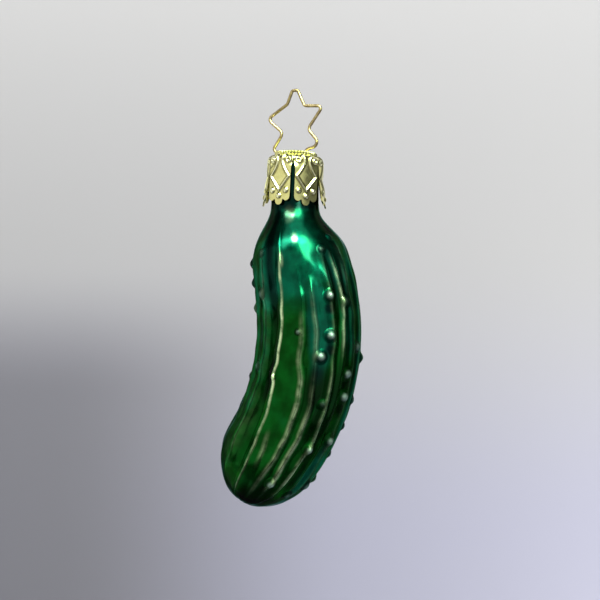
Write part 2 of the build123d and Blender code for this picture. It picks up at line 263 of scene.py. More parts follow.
def ring_faces(first, rows, columns):
    """Quads that join rings of points into a tube, facing outwards."""
    row, column = np.meshgrid(np.arange(rows - 1), np.arange(columns), indexing="ij")
    here = first + row * columns
    after = (column + 1) % columns
    quads = [here + column, here + after, here + columns + after, here + columns + column]
    return np.stack(quads, axis=-1).reshape(-1, 4).tolist()


def tip_faces(ring, tip, columns):
    """Triangles that close a tube's last ring at one point."""
    return [(ring + j, ring + (j + 1) % columns, tip) for j in range(columns)]


def new_piece(name, points, faces):
    """A smooth-shaded mesh object from points in millimetres."""
    mesh = bpy.data.meshes.new(name)
    mesh.from_pydata((np.asarray(points) * MM).tolist(), [], faces)
    mesh.shade_smooth()
    piece = bpy.data.objects.new(name, mesh)
    bpy.context.scene.collection.objects.link(piece)
    return piece


def paint_points(mesh, name, values):
    """Keeps one number per point on the mesh, for its material to read."""
    mesh.attributes.new(name, "FLOAT", "POINT").data.foreach_set("value", values.astype(np.float32))


outer_down, outer_r = glass_rows(0, *OUTER_ROWS)
share_down = (outer_down - NECK_LENGTH) / PICKLE_LENGTH
every_turn = np.arange(0, 360 + TURN_STEP, TURN_STEP)
crisp = np.exp(-((every_turn - CRISP_RIDGE) / CRISP_HALF) ** 2)
crowding = 1 + FRONT_CROWDING * (every_turn < 180) + CRISP_CROWDING * crisp
gathered = np.cumsum(crowding) - crowding[0]
round_degrees = np.interp(np.arange(COLUMNS) / COLUMNS, gathered / gathered[-1], every_turn)
round_angle = np.radians(round_degrees)
skin = on_glass(outer_down[:, None], outer_r[:, None], round_angle[None, :])
down_skin = np.gradient(skin, axis=0)
round_skin = np.roll(skin, -1, axis=1) - np.roll(skin, 1, axis=1)
outward = np.cross(round_skin, down_skin)
outward /= np.linalg.norm(outward, axis=-1, keepdims=True)


def wander(rows, wavelength):
    """A smooth random line of about unit swing, one value per row."""
    knots = np.arange(0, rows + wavelength, wavelength)
    return np.interp(np.arange(rows), knots, rng.uniform(-1, 1, len(knots)))


def soften(values, reach):
    """A running average over so many rows."""
    padded = np.pad(values, reach, mode="edge")
    weights = np.hanning(2 * reach + 1)
    return np.convolve(padded, weights / weights.sum(), mode="valid")


def along(pairs, reach=6):
    """A value per row from its pairs of share and value, eased over their corners."""
    shares, values = zip(*pairs)
    return soften(np.interp(share_down, shares, values), reach)


def degrees_from(line):
    """How many degrees each point of the skin is to the left of a line, one value per row."""
    return (round_degrees[None, :] - line[:, None] + 180) % 360 - 180


def raise_ridge(crest, rise, left, right, bead, worn):
    """The rise of one ridge over the skin in millimetres, and its crest's pale wear and painted highlight.
    """
    rows = len(share_down)
    aside = degrees_from(along(crest) + soften(CREST_WANDER * wander(rows, CREST_WAVE), CREST_EASE))
    slope = np.clip(np.where(aside > 0, aside / left, -aside / right), 0, 1)
    steady_rise = along(rise, RISE_EASE)
    height = steady_rise * (1 + RISE_WANDER * soften(wander(rows, RISE_WAVE), RISE_WAVE_EASE))
    fine_line = np.clip(1 - np.abs(aside) / BEAD_HALF, 0, 1)
    present = np.clip(steady_rise / CLEAR_RISE, 0, 1)
    ridge = height[:, None] * ease(1 - slope) + bead * present[:, None] * ease(fine_line)
    wear_half = FINE_WEAR_HALF if bead > CLEAR_BEAD else WEAR_HALF
    wear = np.clip(WEAR_FULLNESS - np.abs(aside) / wear_half, 0, 1)
    return ridge, (present * along(worn))[:, None] * wear


rear_ridges = []
for i in range(REAR_RIDGES):
    turns = REAR_FROM + REAR_STEP * i + REAR_WANDER * rng.uniform(-1, 1, len(REAR_CREST_SHARES))
    rise = rng.uniform(*REAR_RISES)
    wear = rng.uniform(*REAR_WEAR, len(REAR_WEAR_SHARES))
    rear_ridges.append({
        "crest": tuple(zip(REAR_CREST_SHARES, turns)),
        "rise": ((0.08, 0), (0.20, rise), (0.85, rise), (0.96, 0)),
        "left": rng.uniform(*REAR_SLOPES),
        "right": rng.uniform(*REAR_SLOPES),
        "bead": REAR_BEAD,
        "worn": tuple(zip(REAR_WEAR_SHARES, wear)),
    })

ridges = np.zeros(skin.shape[:2])
worn = np.zeros(skin.shape[:2])
for ridge in RIDGES + tuple(rear_ridges):
    height, wear = raise_ridge(**ridge)
    ridges = np.maximum(ridges, height)
    worn = np.maximum(worn, wear)

rear_patches = []
for i in range(REAR_PATCHES):
    rear_patches.append(tuple(rng.uniform(*limits) for limits in REAR_PATCH_LIMITS))


def patched(values, patches):
    """Lays soft oval patches over the values of the skin's points."""
    for patch_share, patch_degrees, half_length, half_width, depth in patches:
        across = degrees_from(np.full(len(share_down), float(patch_degrees))) / half_width
        down = (share_down[:, None] - patch_share) / half_length
        values = np.maximum(values, depth * ease(PATCH_FULLNESS * (1 - np.hypot(across, down))))
    return values


# Painted highlights join the pale crests
worn = patched(worn, THIN_PATCHES)
# Darker lacquer along the valleys, partly pooled and partly painted shade, and painted shadow on the neck
# under the cap
neck = ease(2 * (NECK_SHARE - share_down) / NECK_SHARE + 0.5)
valleys = np.clip(1 - ridges / VALLEY_RISE, 0, 1) * ease(share_down / VALLEY_SHARE)[:, None]
pool = np.maximum(VALLEY_DEPTH * valleys, NECK_DEPTH * neck[:, None])
# Painted shade, shadow and dark reflection in patches
pool = patched(pool, DEEP_PATCHES + tuple(rear_patches))
shoulder = ease((COOL_SHARES[1] - share_down) / (COOL_SHARES[1] - COOL_SHARES[0]))
cool = patched(np.repeat(shoulder[:, None], COLUMNS, axis=1), COOL_PATCHES)

rear_warts = []
for i in range(REAR_WARTS):
    low, high = REAR_WART_SHARES
    start, end = REAR_WART_DEGREES
    place = (low + (high - low) * i / REAR_WARTS, start + REAR_WART_TURN * i % (end - start))
    rear_warts.append((*place, REAR_WART_R, REAR_WART_HEIGHT, rng.uniform(*REAR_WART_THINNESS)))

# Each wart's dome, the painted highlight on its top, and its flanks, which get painted shade
warts = np.zeros(skin.shape[:2])
wart_tops = np.zeros(skin.shape[:2])
wart_flanks = np.zeros(skin.shape[:2])
for wart_share, wart_degrees, wart_r, wart_height, thinness in FRONT_WARTS + tuple(rear_warts):
    wart_down = NECK_LENGTH + wart_share * PICKLE_LENGTH
    middle = on_glass(wart_down, np.interp(wart_down, outer_down, outer_r), radians(wart_degrees))
    dome = np.clip(1 - (np.linalg.norm(skin - middle, axis=-1) / wart_r) ** 2, 0, 1) ** 2
    warts = np.maximum(warts, wart_height * dome)
    wart_tops = np.maximum(wart_tops, thinness * ease((dome - WART_TOP) / (1 - WART_TOP)))
    wart_flanks = np.maximum(wart_flanks, ease(dome / WART_FOOT))
# Painted shade over each wart's flanks and foot
pool = np.maximum(pool, WART_DEPTH * wart_flanks)

# The mould's unevenness
swell = np.zeros(skin.shape[:2])
for i in range(SWELLS):
    turns_round = rng.integers(*SWELL_TURNS) * rng.choice((-1, 1))
    turns_down = 2 * pi / rng.uniform(*SWELL_LENGTHS)
    swell += np.sin(turns_down * outer_down[:, None] + turns_round * round_angle + rng.uniform(0, 2 * pi))
swell *= SWELL_HEIGHT * ease((outer_down - NECK_LENGTH - SWELL_DROP) / SWELL_RUN_IN)[:, None]

relief = ridges + warts + swell
outer_skin = skin + outward * relief[..., None]
inner_down, inner_r = glass_rows(GLASS_WALL, *INNER_ROWS)
inner_skin = on_glass(inner_down[:, None], inner_r[:, None], round_angle[None, :])
outer_tip = on_glass(NECK_LENGTH + PICKLE_LENGTH, 0, 0)
inner_tip = on_glass(NECK_LENGTH + PICKLE_LENGTH - GLASS_WALL, 0, 0)

outer_count = len(outer_down) * COLUMNS
inner_count = len(inner_down) * COLUMNS
points = np.vstack([outer_skin.reshape(-1, 3), outer_tip, inner_skin.reshape(-1, 3), inner_tip])
outside = ring_faces(0, len(outer_down), COLUMNS) + tip_faces(outer_count - COLUMNS, outer_count, COLUMNS)
inner_first = outer_count + 1
inside = ring_faces(inner_first, len(inner_down), COLUMNS)
inside += tip_faces(inner_first + inner_count - COLUMNS, inner_first + inner_count, COLUMNS)
inside = [face[::-1] for face in inside]
rim = []
for j in range(COLUMNS):
    after = (j + 1) % COLUMNS
    rim.append((inner_first + j, inner_first + after, after, j))
pickle_glass = new_piece("pickle_glass", points, outside + inside + rim)
unpainted = np.zeros(len(points) - outer_count)
painting = {
    "pool": pool * (1 - worn),
    "cool": cool,
    "worn": worn,
    "wart_top": wart_tops,
    "wart_flank": wart_flanks,
}
for name, values in painting.items():
    paint_points(pickle_glass.data, name, np.append(values.ravel(), unpainted))


def add_node(tree, kind, values=None, **settings):
    """A shader node. A socket's value is a number or colour, or another node's output to join to it."""
    node = tree.nodes.new(kind)
    for name, value in settings.items():
        setattr(node, name, value)
    for socket, value in (values or {}).items():
        if isinstance(value, bpy.types.NodeSocket):
            tree.links.new(value, node.inputs[socket])
        else:
            node.inputs[socket].default_value = value
    return node


def mix_colours(tree, share, first, second):
    """Goes from one colour to another. The mix node keeps its colour sockets at places 6 and 7."""
    return add_node(tree, "ShaderNodeMix", {0: share, 6: first, 7: second}, data_type="RGBA").outputs[2]


def spread(tree, value, low, high, to_low=0.0, to_high=1.0):
    """Stretches a value smoothly from one range to another."""
    sockets = {"Value": value, "From Min": low, "From Max": high, "To Min": to_low, "To Max": to_high}
    return add_node(tree, "ShaderNodeMapRange", sockets, interpolation_type="SMOOTHSTEP").outputs["Result"]


def multiply(tree, first, second):
    """One value times another."""
    return add_node(tree, "ShaderNodeMath", {0: first, 1: second}, operation="MULTIPLY").outputs[0]


def multiply_add(tree, first, second, third):
    """One value times another, plus a third."""
    values = {0: first, 1: second, 2: third}
    return add_node(tree, "ShaderNodeMath", values, operation="MULTIPLY_ADD").outputs[0]


def noise(tree, where, size, detail=3.0, roughness=0.5):
    """Soft noise whose patches are about size millimetres across."""
    sockets = {"Vector": where, "Scale": 1 / (size * MM), "Detail": detail, "Roughness": roughness}
    return add_node(tree, "ShaderNodeTexNoise", sockets).outputs["Fac"]


def painted(tree, name):
    """The number that a mesh keeps for each of its points under a name."""
    return add_node(tree, "ShaderNodeAttribute", attribute_name=name).outputs["Fac"]


def add_bump(tree, surface, height, strength, depth):
    """Fine unevenness of a surface, so many millimetres deep."""
    sockets = {"Strength": strength, "Distance": depth * MM, "Height": height}
    bump = add_node(tree, "ShaderNodeBump", sockets)
    tree.links.new(bump.outputs[0], surface.inputs["Normal"])


def new_material(name, metallic=1.0):
    """A material with its nodes, its surface shader and the place on the piece that its patterns follow."""
    material = bpy.data.materials.new(name)
    material.use_nodes = True
    tree = material.node_tree
    surface = tree.nodes["Principled BSDF"]
    surface.inputs["Metallic"].default_value = metallic
    where = add_node(tree, "ShaderNodeTexCoord").outputs["Object"]
    return material, tree, surface, where


lacquer, tree, surface, where = new_material("green_satin_lacquer")
drift = multiply_add(tree, noise(tree, where, 9.0, 2.0), 0.9, painted(tree, "cool"))
coolness = spread(tree, drift, 0.55, 1.25)
clouds = spread(tree, noise(tree, where, 4.5, 3.0), 0.3, 0.7)
warm_green = mix_colours(tree, clouds, (0.0005, 0.038, 0.002, 1), (0.0015, 0.082, 0.007, 1))
cool_green = mix_colours(tree, clouds, (0.0005, 0.052, 0.025, 1), (0.0010, 0.115, 0.058, 1))
thin_lacquer = mix_colours(tree, coolness, warm_green, cool_green)
deep_lacquer = mix_colours(tree, coolness, (0.0002, 0.010, 0.001, 1), (0.0002, 0.011, 0.009, 1))
# Darker where the lacquer pools and where shade, shadow and dark reflections are painted
lacquered = mix_colours(tree, painted(tree, "pool"), thin_lacquer, deep_lacquer)
# Paler along the crests, from worn lacquer and painted highlight, and with painted highlights in patches
patches = spread(tree, noise(tree, where, 2.2, 4.0), 0.30, 0.62, 0.28, 1.0)
bare_share = multiply(tree, painted(tree, "worn"), patches)
crested = mix_colours(tree, bare_share, lacquered, (0.68, 0.82, 0.47, 1))
# Painted highlights on the wart tops
thin_share = multiply(tree, painted(tree, "wart_top"), 0.5)
warty = mix_colours(tree, thin_share, crested, (0.52, 0.68, 0.58, 1))
tree.links.new(warty, surface.inputs["Base Color"])
surface.inputs["Specular Tint"].default_value = (0.08, 0.38, 0.32, 1)
surface.inputs["Coat Weight"].default_value = 0.06
surface.inputs["Coat Roughness"].default_value = 0.1
satin = spread(tree, noise(tree, where, 1.6), 0.3, 0.7, 0.18, 0.25)
rubbed = multiply_add(tree, painted(tree, "wart_flank"), 0.28, satin)
tree.links.new(rubbed, surface.inputs["Roughness"])
add_bump(tree, surface, noise(tree, where, 0.5, 2.0), 0.04, 0.05)

silvering, tree, surface, where = new_material("silvering")
stains = spread(tree, noise(tree, where, 3.0), 0.42, 0.7)
silver = mix_colours(tree, stains, (0.72, 0.73, 0.71, 1), (0.42, 0.44, 0.40, 1))
tree.links.new(silver, surface.inputs["Base Color"])
tree.links.new(spread(tree, noise(tree, where, 0.8), 0.3, 0.7, 0.18, 0.34), surface.inputs["Roughness"])

pickle_glass.data.materials.append(lacquer)
pickle_glass.data.materials.append(silvering)
finishes = np.zeros(len(pickle_glass.data.polygons), dtype=np.int32)
finishes[len(outside):] = 1
pickle_glass.data.polygons.foreach_set("material_index", finishes)
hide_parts("glass_pickle")
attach(pickle_glass, "glass")

# Crown cap
# Stamped from thin pale brass sheet: a flat top with two wire holes, a reeded rim, and six petals cut
# apart by slits. Each petal is embossed with a lozenge on two stems, two scrolls and three beads.
# It sits over the neck, and the hanger's spring holds it down.

CAP_TOP_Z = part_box("crown_cap")[1].z / MM
SHEET = 0.35
RIM_R = 5.0
RIM_ROUND = 0.2
RIM_FLAT = 0.3            # flat ring inside the rim's round edge
EDGE_ROWS = 6             # rows of points down the round edge
BAND_FADES = (1, 1, 0.9, 0.35)   # the reeds' share of their height down the band, row by row
SHOULDER_ROWS = 14
SHARP_EDGE = radians(52)  # edges that turn by more than this stay sharp
RIM_BAND = 1.05           # height of the reeded band
REED_HEIGHT = 0.32
CAP_SHOULDER_OUT = 1.7    # shoulder's radius past the rim's
SLIT_TOP = 2.4            # below the cap's top
# For each petal, from the front to the right: its hem's radius past the shoulder's, and how flat it is,
# where 0 is as round as the neck and 1 is flat
HEM_FLARES = (0.15, 1.75, 0.70, 0.50, 1.35, 0.15)
PETAL_FLATNESS = (0.75, 0.05, 0.4, 0.4, 0.05, 0.75)
CAP_HEIGHT = 13.6
PETALS = 6
REEDS = 42
REED_COLUMNS = 10         # columns of points per reed
PETAL_NARROWING = 0.06    # share that it narrows as it flattens
FLATTENING_DROP = 2.5     # from the slit's top to where it is flattest
PETAL_COLUMNS = 68        # columns of points per petal, the rest of its sixth is the slit
LOBE_R = 1.1
LOBE_RISE = 1.0           # outer lobes above the middle one
NOTCH = 0.4               # between them
NOTCH_OUT = 1.3
NOTCH_HALF = 0.4
EMBOSS = 0.34
LINE_HALF = 0.46          # half the width of a raised line
STEM_HALF = 1.15          # from the petal's middle line to a stem, at its top
STEM_TOP = 1.0            # below the cap's top
WAIST_HALF = 0.65         # where the two stems are closest
WAIST_DROP = 2.9
STEM_STEPS = 6            # short straight steps of a stem, down to the waist
LOZENGE_STEPS = 14        # and of the lozenge's upper side
LOZENGE_CURVE = 1.5       # above 1 that side is hollow
LOZENGE_MIDDLE = 6.6
LOZENGE_HALF = 2.75
LOZENGE_FOOT = 10.0
SCROLL_R = 0.5
SCROLL_FINENESS = 1.15    # above 1 a scroll's line is finer than the others
SCROLL_OUT = 2.25
SCROLL_DROP = 2.6
BEAD_R = 0.74
BEAD_HEIGHT = 0.46
BEAD_ROUNDNESS = 0.7      # 0.5 is a half ball, and more is more pointed
BEAD_OUT = 2.05
BEAD_DROP = 11.35         # middle bead below the cap's top
BEAD_STEP = 1.3           # outer beads above the middle one
RECESS_OUT = 0.02         # painted shade and tarnish in a recess this far beside the raised lines
RECESS_HALF = 0.16
CAP_TURN = radians(-4)    # the cap sits a little turned and tilted on the neck
CAP_TILT = radians(2.6)   # lower on its right
TILT_DROP = 6.0           # height below its top about which it tilts
HOLE_OUT = 3.0
HOLE_R = 0.55
HANGER_TURN = radians(25)   # the hanger's plane about the neck, right side forward

cap_columns = REEDS * REED_COLUMNS
sector_columns = cap_columns // PETALS
cap_angle = 2 * pi * np.arange(cap_columns) / cap_columns      # from the front to the right
petal_angle = cap_angle % (2 * pi / PETALS) - pi / PETALS      # from the nearest petal's middle line


def cap_radius(drop, flare=0.0):
    """Radius of the cap's outer face, so far below its top, on a petal whose hem flares so far."""
    over_shoulder = np.clip((drop - RIM_BAND) / (SLIT_TOP - RIM_BAND), 0, 1)
    down_petal = np.clip((drop - SLIT_TOP) / (CAP_HEIGHT - SLIT_TOP), 0, 1)
    round_shoulder = np.sqrt(1 - (1 - over_shoulder) ** 2)
    return RIM_R + CAP_SHOULDER_OUT * round_shoulder + flare * ease(0.5 * down_petal + 0.25) * down_petal


def away_from_line(corners, across, drop):
    """Distance of points on a petal from a line through the corners."""
    nearest = np.full(np.shape(across), np.inf)
    for (x0, d0), (x1, d1) in zip(corners, corners[1:]):
        length2 = (x1 - x0) ** 2 + (d1 - d0) ** 2
        share = np.clip(((across - x0) * (x1 - x0) + (drop - d0) * (d1 - d0)) / length2, 0, 1)
        away = np.hypot(across - x0 - share * (x1 - x0), drop - d0 - share * (d1 - d0))
        nearest = np.minimum(nearest, away)
    return nearest


def emboss(across, drop):
    """The embossing's height on a petal, alike on both sides of its middle, and the recess round it."""
    aside = np.abs(across)
    stem = []
    for share in np.linspace(0, 1, STEM_STEPS, endpoint=False):
        out = STEM_HALF + (WAIST_HALF - STEM_HALF) * ease(share)
        stem.append((out, STEM_TOP + (WAIST_DROP - STEM_TOP) * share))
    for share in np.linspace(0, 1, LOZENGE_STEPS):
        out = WAIST_HALF + (LOZENGE_HALF - WAIST_HALF) * share ** LOZENGE_CURVE
        stem.append((out, WAIST_DROP + (LOZENGE_MIDDLE - WAIST_DROP) * share))
    stem.append((0, LOZENGE_FOOT))
    away = away_from_line(stem, aside, drop)
    scroll = np.abs(np.hypot(aside - SCROLL_OUT, drop - SCROLL_DROP) - SCROLL_R)
    away = np.minimum(away, scroll * SCROLL_FINENESS)
    rise = EMBOSS * (0.5 + 0.5 * np.cos(pi * np.clip(away / LINE_HALF, 0, 1)))
    recess = np.exp(-((away - LINE_HALF - RECESS_OUT) / RECESS_HALF) ** 2)
    for out, down in ((0, BEAD_DROP), (BEAD_OUT, BEAD_DROP - BEAD_STEP)):
        from_bead = np.hypot(aside - out, drop - down) / BEAD_R
        rise = np.maximum(rise, BEAD_HEIGHT * np.clip(1 - from_bead ** 2, 0, 1) ** BEAD_ROUNDNESS)
        recess = np.maximum(recess, np.exp(-((BEAD_R * (from_bead - 1) - RECESS_OUT) / RECESS_HALF) ** 2))
    return rise, recess


def petal_foot(across):
    """How far below the cap's top a petal's scalloped edge is."""
    aside = np.abs(across)
    middle = CAP_HEIGHT - LOBE_R
    outer_middle = across.max() - LOBE_R
    middle_lobe = middle + np.sqrt(np.clip(LOBE_R ** 2 - aside ** 2, 0, None))
    past_middle = np.maximum(aside - outer_middle, 0)
    outer_lobe = middle - LOBE_RISE + np.sqrt(np.clip(LOBE_R ** 2 - past_middle ** 2, 0, None))
    outer_lobe = outer_lobe - NOTCH * np.exp(-((aside - NOTCH_OUT) / NOTCH_HALF) ** 2)
    return np.where(aside < LOBE_R, np.maximum(middle_lobe, outer_lobe), outer_lobe)


def petal_place(across, drop, flare, flatness):
    """Angle and radius on a petal. Below the shoulder it is flatter than the round neck behind it."""
    radius = cap_radius(drop, flare)
    flattening = ease((drop - SLIT_TOP) / FLATTENING_DROP)
    across = across * (1 - PETAL_NARROWING * flattening)
    round_depth = np.sqrt(radius ** 2 - across ** 2)
    flat_depth = np.sqrt(radius ** 2 - (across.max() / 2) ** 2)
    depth = round_depth + flatness * flattening * (flat_depth - round_depth)
    return np.arctan2(across, depth), np.hypot(across, depth)


def on_cap(radius, angle, drop):
    """Points so far out from the neck's axis, round from the front to the right, and below the top."""
    places = np.broadcast_arrays(radius * np.sin(angle), -radius * np.cos(angle), CAP_TOP_Z - drop)
    return np.stack(places, axis=-1)


tilt_middle = np.array((0, 0, CAP_TOP_Z - TILT_DROP))
turned = np.array(((cos(CAP_TURN), -sin(CAP_TURN), 0), (sin(CAP_TURN), cos(CAP_TURN), 0), (0, 0, 1)))
tilted = np.array(((cos(CAP_TILT), 0, sin(CAP_TILT)), (0, 1, 0), (-sin(CAP_TILT), 0, cos(CAP_TILT))))
sitting = tilted @ turned


def on_neck(points):
    """Turns and tilts the cap's points to how it sits on the neck."""
    return tilt_middle + (np.asarray(points) - tilt_middle) @ sitting.T


def off_neck(point):
    """The place on the upright cap that comes to a point once the cap sits on the neck."""
    return tilt_middle + (np.asarray(point) - tilt_middle) @ sitting


def sheet_faces(radius, angle, drop, rise, flare=0.0):
    """The outer and inner face of a stretch of sheet, with its embossing pressed through it."""
    step = 0.02
    fall = (cap_radius(drop + step, flare) - cap_radius(np.maximum(drop - step, 0), flare)) / (2 * step)
    size = np.hypot(1, fall)
    outer = on_cap(radius + rise / size, angle, drop - rise * fall / size)
    inner = on_cap(radius + (rise - SHEET) / size, angle, drop - (rise - SHEET) * fall / size)
    return outer, inner


# Rows of the crown: a flat rim, the round edge, the reeded band and the shoulder
band_rows = len(BAND_FADES)
edge_turn = np.linspace(0, pi / 2, EDGE_ROWS)
band_drop = np.linspace(RIM_ROUND, RIM_BAND, band_rows + 1)[1:]
shoulder_share = 1 - np.cos(np.linspace(0, pi / 2, SHOULDER_ROWS + 1)[1:])
shoulder_drop = RIM_BAND + (SLIT_TOP - RIM_BAND) * shoulder_share
edge_r = RIM_R - RIM_ROUND + RIM_ROUND * np.sin(edge_turn)
crown_r = np.concatenate([[RIM_R - RIM_ROUND - RIM_FLAT], edge_r, np.full(band_rows, RIM_R)])
crown_drop = np.concatenate([[0], RIM_ROUND * (1 - np.cos(edge_turn)), band_drop])
reed = 0.5 - 0.5 * np.cos(2 * pi * np.arange(cap_columns) / REED_COLUMNS)
reed_fade = np.concatenate([[0], np.sin(edge_turn) ** 2, BAND_FADES])
band_out = crown_r[:, None] + REED_HEIGHT * reed_fade[:, None] * reed
band_in = crown_r - SHEET * np.concatenate([[0], np.sin(edge_turn), np.ones(band_rows)])
band_in_drop = crown_drop + SHEET * np.concatenate([[1], np.cos(edge_turn), np.zeros(band_rows)])
band_outer = on_cap(band_out, cap_angle[None, :], crown_drop[:, None])
band_inner = on_cap(band_in[:, None], cap_angle[None, :], band_in_drop[:, None])

shoulder_r = cap_radius(shoulder_drop)[:, None]
on_petal = np.abs(petal_angle) < pi / PETALS * PETAL_COLUMNS / sector_columns + 1e-6
shoulder_rise, shoulder_recess = emboss(shoulder_r * np.sin(petal_angle), shoulder_drop[:, None])
shoulder_rise = shoulder_rise * on_petal
shoulder_recess = shoulder_recess * on_petal
shoulder_outer, shoulder_inner = sheet_faces(shoulder_r, cap_angle, shoulder_drop[:, None], shoulder_rise)

petal_turn = (np.arange(PETAL_COLUMNS + 1) - PETAL_COLUMNS / 2) * 2 * pi / cap_columns
petal_across = cap_radius(SLIT_TOP) * np.sin(petal_turn)
PETAL_ROWS = 74
row_share = np.arange(1, PETAL_ROWS + 1)[:, None] / PETAL_ROWS
petal_drop = SLIT_TOP + (petal_foot(petal_across) - SLIT_TOP) * row_share
petal_rise, petal_recess = emboss(petal_across, petal_drop)

crown_outer = np.concatenate([band_outer, shoulder_outer])
crown_inner = np.concatenate([band_inner, shoulder_inner])
crown_rows = len(crown_outer)
outer_points = [crown_outer.reshape(-1, 3)]
inner_points = [crown_inner.reshape(-1, 3)]
raised = [np.zeros(band_outer.shape[:2]).ravel(), shoulder_rise.ravel()]
# Painted shade and tarnish in the reeds' grooves and round the raised lines
recessed = [(reed_fade[:, None] * (1 - reed)).ravel(), shoulder_recess.ravel()]
outer_faces = ring_faces(0, crown_rows, cap_columns)
edges = []
slit_ring = (crown_rows - 1) * cap_columns
for petal in range(PETALS):
    turn = pi / PETALS * (2 * petal + 1)
    petal_round, petal_r = petal_place(petal_across, petal_drop, HEM_FLARES[petal], PETAL_FLATNESS[petal])
    outer, inner = sheet_faces(petal_r, petal_round + turn, petal_drop, petal_rise, HEM_FLARES[petal])
    first = sum(len(block) for block in outer_points)
    outer_points.append(outer.reshape(-1, 3))
    inner_points.append(inner.reshape(-1, 3))
    raised.append(petal_rise.ravel())
    recessed.append(petal_recess.ravel())
    middle_column = sector_columns // 2 + petal * sector_columns
    top = [slit_ring + middle_column + j - PETAL_COLUMNS // 2 for j in range(PETAL_COLUMNS + 1)]
    rows = [top]
    for i in range(PETAL_ROWS):
        rows.append([first + i * (PETAL_COLUMNS + 1) + j for j in range(PETAL_COLUMNS + 1)])
    for upper, lower in zip(rows, rows[1:]):
        for j in range(PETAL_COLUMNS):
            outer_faces.append((upper[j], lower[j], lower[j + 1], upper[j + 1])[::-1])
    left_side = [row[0] for row in rows]
    right_side = [row[-1] for row in rows]
    edges.append(left_side)
    edges.append(rows[-1])
    edges.append(right_side)
    slit_start = middle_column + PETAL_COLUMNS // 2
    slit_columns = range(slit_start, slit_start + sector_columns - PETAL_COLUMNS + 1)
    edges.append([slit_ring + column % cap_columns for column in slit_columns])

outer_points = np.vstack(outer_points)
inner_points = np.vstack(inner_points)
layer = len(outer_points)
cap_faces = outer_faces + [tuple(point + layer for point in face[::-1]) for face in outer_faces]
for edge in edges:
    for a, b in zip(edge, edge[1:]):
        cap_faces.append((a, b, b + layer, a + layer))
cap_piece = new_piece("crown_cap_sheet", on_neck(np.vstack([outer_points, inner_points])), cap_faces)
raised = np.concatenate(raised) / EMBOSS
paint_points(cap_piece.data, "raised", np.clip(np.append(raised, raised), 0, 1))
recessed = np.concatenate(recessed)
paint_points(cap_piece.data, "recessed", np.append(recessed, np.zeros(layer)))

# The flat top and its underside, filled round the two wire holes
HOLE_SIDES = 24
cap_mesh = bmesh.new()
cap_mesh.from_mesh(cap_piece.data)
sheet_points = list(cap_mesh.verts)
hole_rings = {}
for face_z, ring_start in ((CAP_TOP_Z, 0), (CAP_TOP_Z - SHEET, layer)):
    loop = sheet_points[ring_start:ring_start + cap_columns]
    boundary = [cap_mesh.edges.get((loop[j], loop[(j + 1) % cap_columns])) for j in range(cap_columns)]
    for side in (-1, 1):
        wire = (side * HOLE_OUT * cos(HANGER_TURN), -side * HOLE_OUT * sin(HANGER_TURN), CAP_TOP_Z)
        middle = off_neck(wire) * (1, 1, 0) + (0, 0, face_z)
        ring = []
        for j in range(HOLE_SIDES):
            turn = 2 * pi * j / HOLE_SIDES
            spot = middle + HOLE_R * np.array((cos(turn), sin(turn), 0))
            ring.append(cap_mesh.verts.new(on_neck(spot) * MM))
        boundary += [cap_mesh.edges.new((ring[j], ring[(j + 1) % HOLE_SIDES])) for j in range(HOLE_SIDES)]
        hole_rings[side, ring_start] = ring
    bmesh.ops.triangle_fill(cap_mesh, use_beauty=True, use_dissolve=False, edges=boundary)
for side in (-1, 1):
    upper = hole_rings[side, 0]
    lower = hole_rings[side, layer]
    for j in range(HOLE_SIDES):
        after = (j + 1) % HOLE_SIDES
        cap_mesh.faces.new((upper[j], upper[after], lower[after], lower[j]))
bmesh.ops.recalc_face_normals(cap_mesh, faces=cap_mesh.faces)
cap_mesh.to_mesh(cap_piece.data)
cap_mesh.free()
cap_piece.data.shade_smooth()
cap_piece.data.set_sharp_from_angle(angle=SHARP_EDGE)

# Handling marks of thin gold-toned metal: cloudy tarnish, smudges and fine scratches
handling = bpy.data.node_groups.new("handled_brass", "ShaderNodeTree")
for name, start in (("Tarnish", 0.4), ("Polish", 0.2), ("Dullness", 0.15)):
    socket = handling.interface.new_socket(name, in_out="INPUT", socket_type="NodeSocketFloat")
    socket.default_value = start
for name in ("Tarnish mask", "Roughness", "Scratches"):
    handling.interface.new_socket(name, in_out="OUTPUT", socket_type="NodeSocketFloat")
inputs = add_node(handling, "NodeGroupInput").outputs
where = add_node(handling, "ShaderNodeTexCoord").outputs["Object"]
cloud = spread(handling, noise(handling, where, 2.4, 4.0, 0.6), 0.40, 0.68)
smudge = spread(handling, noise(handling, where, 0.9, 3.0), 0.35, 0.7)
scratches = noise(handling, where, 0.16, 2.0)
rough = multiply_add(handling, smudge, inputs["Dullness"], inputs["Polish"])
tarnish = multiply(handling, cloud, inputs["Tarnish"])
masks = {"Tarnish mask": tarnish, "Roughness": rough, "Scratches": scratches}
add_node(handling, "NodeGroupOutput", masks)


def add_handling(tree, tarnish, polish, dullness):
    """Places the handling marks in a material, as strong as its own values say."""
    values = {"Tarnish": tarnish, "Polish": polish, "Dullness": dullness}
    group = tree.nodes.new("ShaderNodeGroup")
    group.node_tree = handling
    for name, value in values.items():
        group.inputs[name].default_value = value
    return group.outputs


pale_brass, tree, surface, where = new_material("pale_stamped_brass")
marks = add_handling(tree, 0.55, 0.13, 0.10)
raised_share = spread(tree, painted(tree, "raised"), 0.1, 0.9)
sheet_colour = mix_colours(tree, marks["Tarnish mask"], (0.78, 0.75, 0.31, 1), (0.55, 0.51, 0.18, 1))
embossed = mix_colours(tree, raised_share, sheet_colour, (0.87, 0.85, 0.50, 1))
